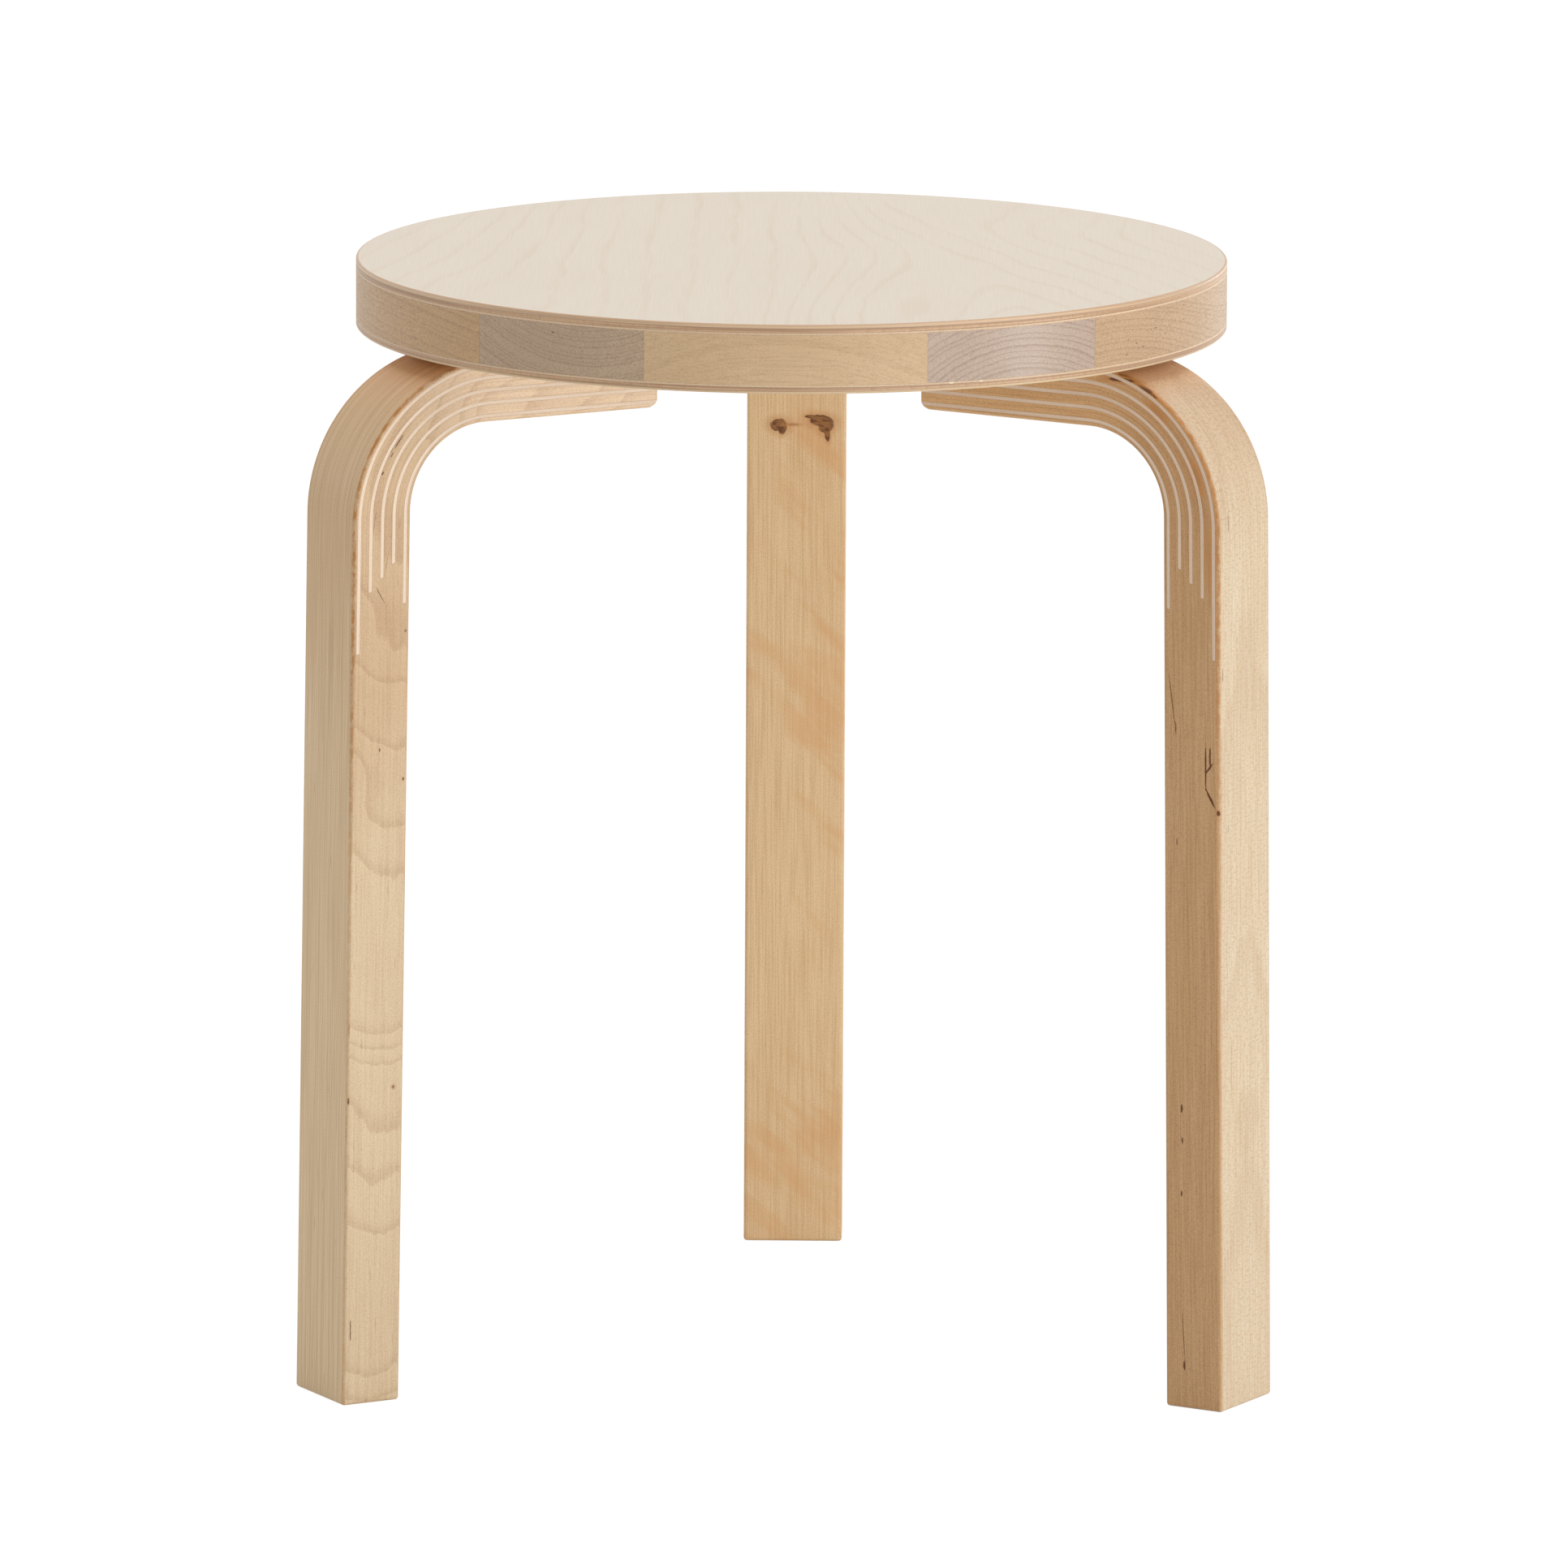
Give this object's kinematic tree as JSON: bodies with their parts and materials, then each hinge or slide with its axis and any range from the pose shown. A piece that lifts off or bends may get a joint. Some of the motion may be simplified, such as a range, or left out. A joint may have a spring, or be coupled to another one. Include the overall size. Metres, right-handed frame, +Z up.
{
  "type": "stacking stool",
  "caption": "Round-seated wooden stacking stool whose bent legs, filled with veneer strips at the bend, carry a laminated disc seat.",
  "frame": {"origin": "on the floor, directly under the centre of the seat", "axes": "+Z up, through the centre of the seat; +Y towards the rear leg; +X to the right of someone facing +Y"},
  "size_m": [0.3852, 0.3839, 0.44],
  "materials": {
    "seat_face_birch": "clear satin lacquer",
    "seat_inner_birch": "sanded edge, clear lacquer",
    "seat_cross_birch": "sanded edge, clear lacquer",
    "core_birch": "sanded, clear satin lacquer",
    "core_end_grain": "sanded end grain, clear satin lacquer",
    "leg_birch": "sanded, clear satin lacquer",
    "strip_birch": "sanded edge, clear satin lacquer",
    "zinc_screw": "zinc plated"
  },
  "bodies": {
    "root": {"front_left_leg": "leg_birch", "front_left_leg_veneer_1": "strip_birch", "front_left_leg_veneer_2": "strip_birch", "front_left_leg_veneer_3": "strip_birch", "front_left_leg_veneer_4": "strip_birch", "front_left_leg_veneer_5": "strip_birch", "front_left_leg_screws": "zinc_screw", "front_right_leg": "leg_birch", "front_right_leg_veneer_1": "strip_birch", "front_right_leg_veneer_2": "strip_birch", "front_right_leg_veneer_3": "strip_birch", "front_right_leg_veneer_4": "strip_birch", "front_right_leg_veneer_5": "strip_birch", "front_right_leg_screws": "zinc_screw", "rear_leg": "leg_birch", "rear_leg_veneer_1": "strip_birch", "rear_leg_veneer_2": "strip_birch", "rear_leg_veneer_3": "strip_birch", "rear_leg_veneer_4": "strip_birch", "rear_leg_veneer_5": "strip_birch", "rear_leg_screws": "zinc_screw", "top_face_veneer": "seat_face_birch", "bottom_face_veneer": "seat_face_birch", "top_inner_veneer": "seat_inner_birch", "bottom_inner_veneer": "seat_inner_birch", "top_cross_veneer": "seat_cross_birch", "bottom_cross_veneer": "seat_cross_birch", "core_front_rail": "core_birch", "core_rear_rail": "core_birch", "core_left_side_block": "core_birch", "core_right_side_block": "core_birch", "core_centre_panel": "core_birch", "core_left_stile": "core_end_grain", "core_right_stile": "core_end_grain"}
  },
  "joints": []
}
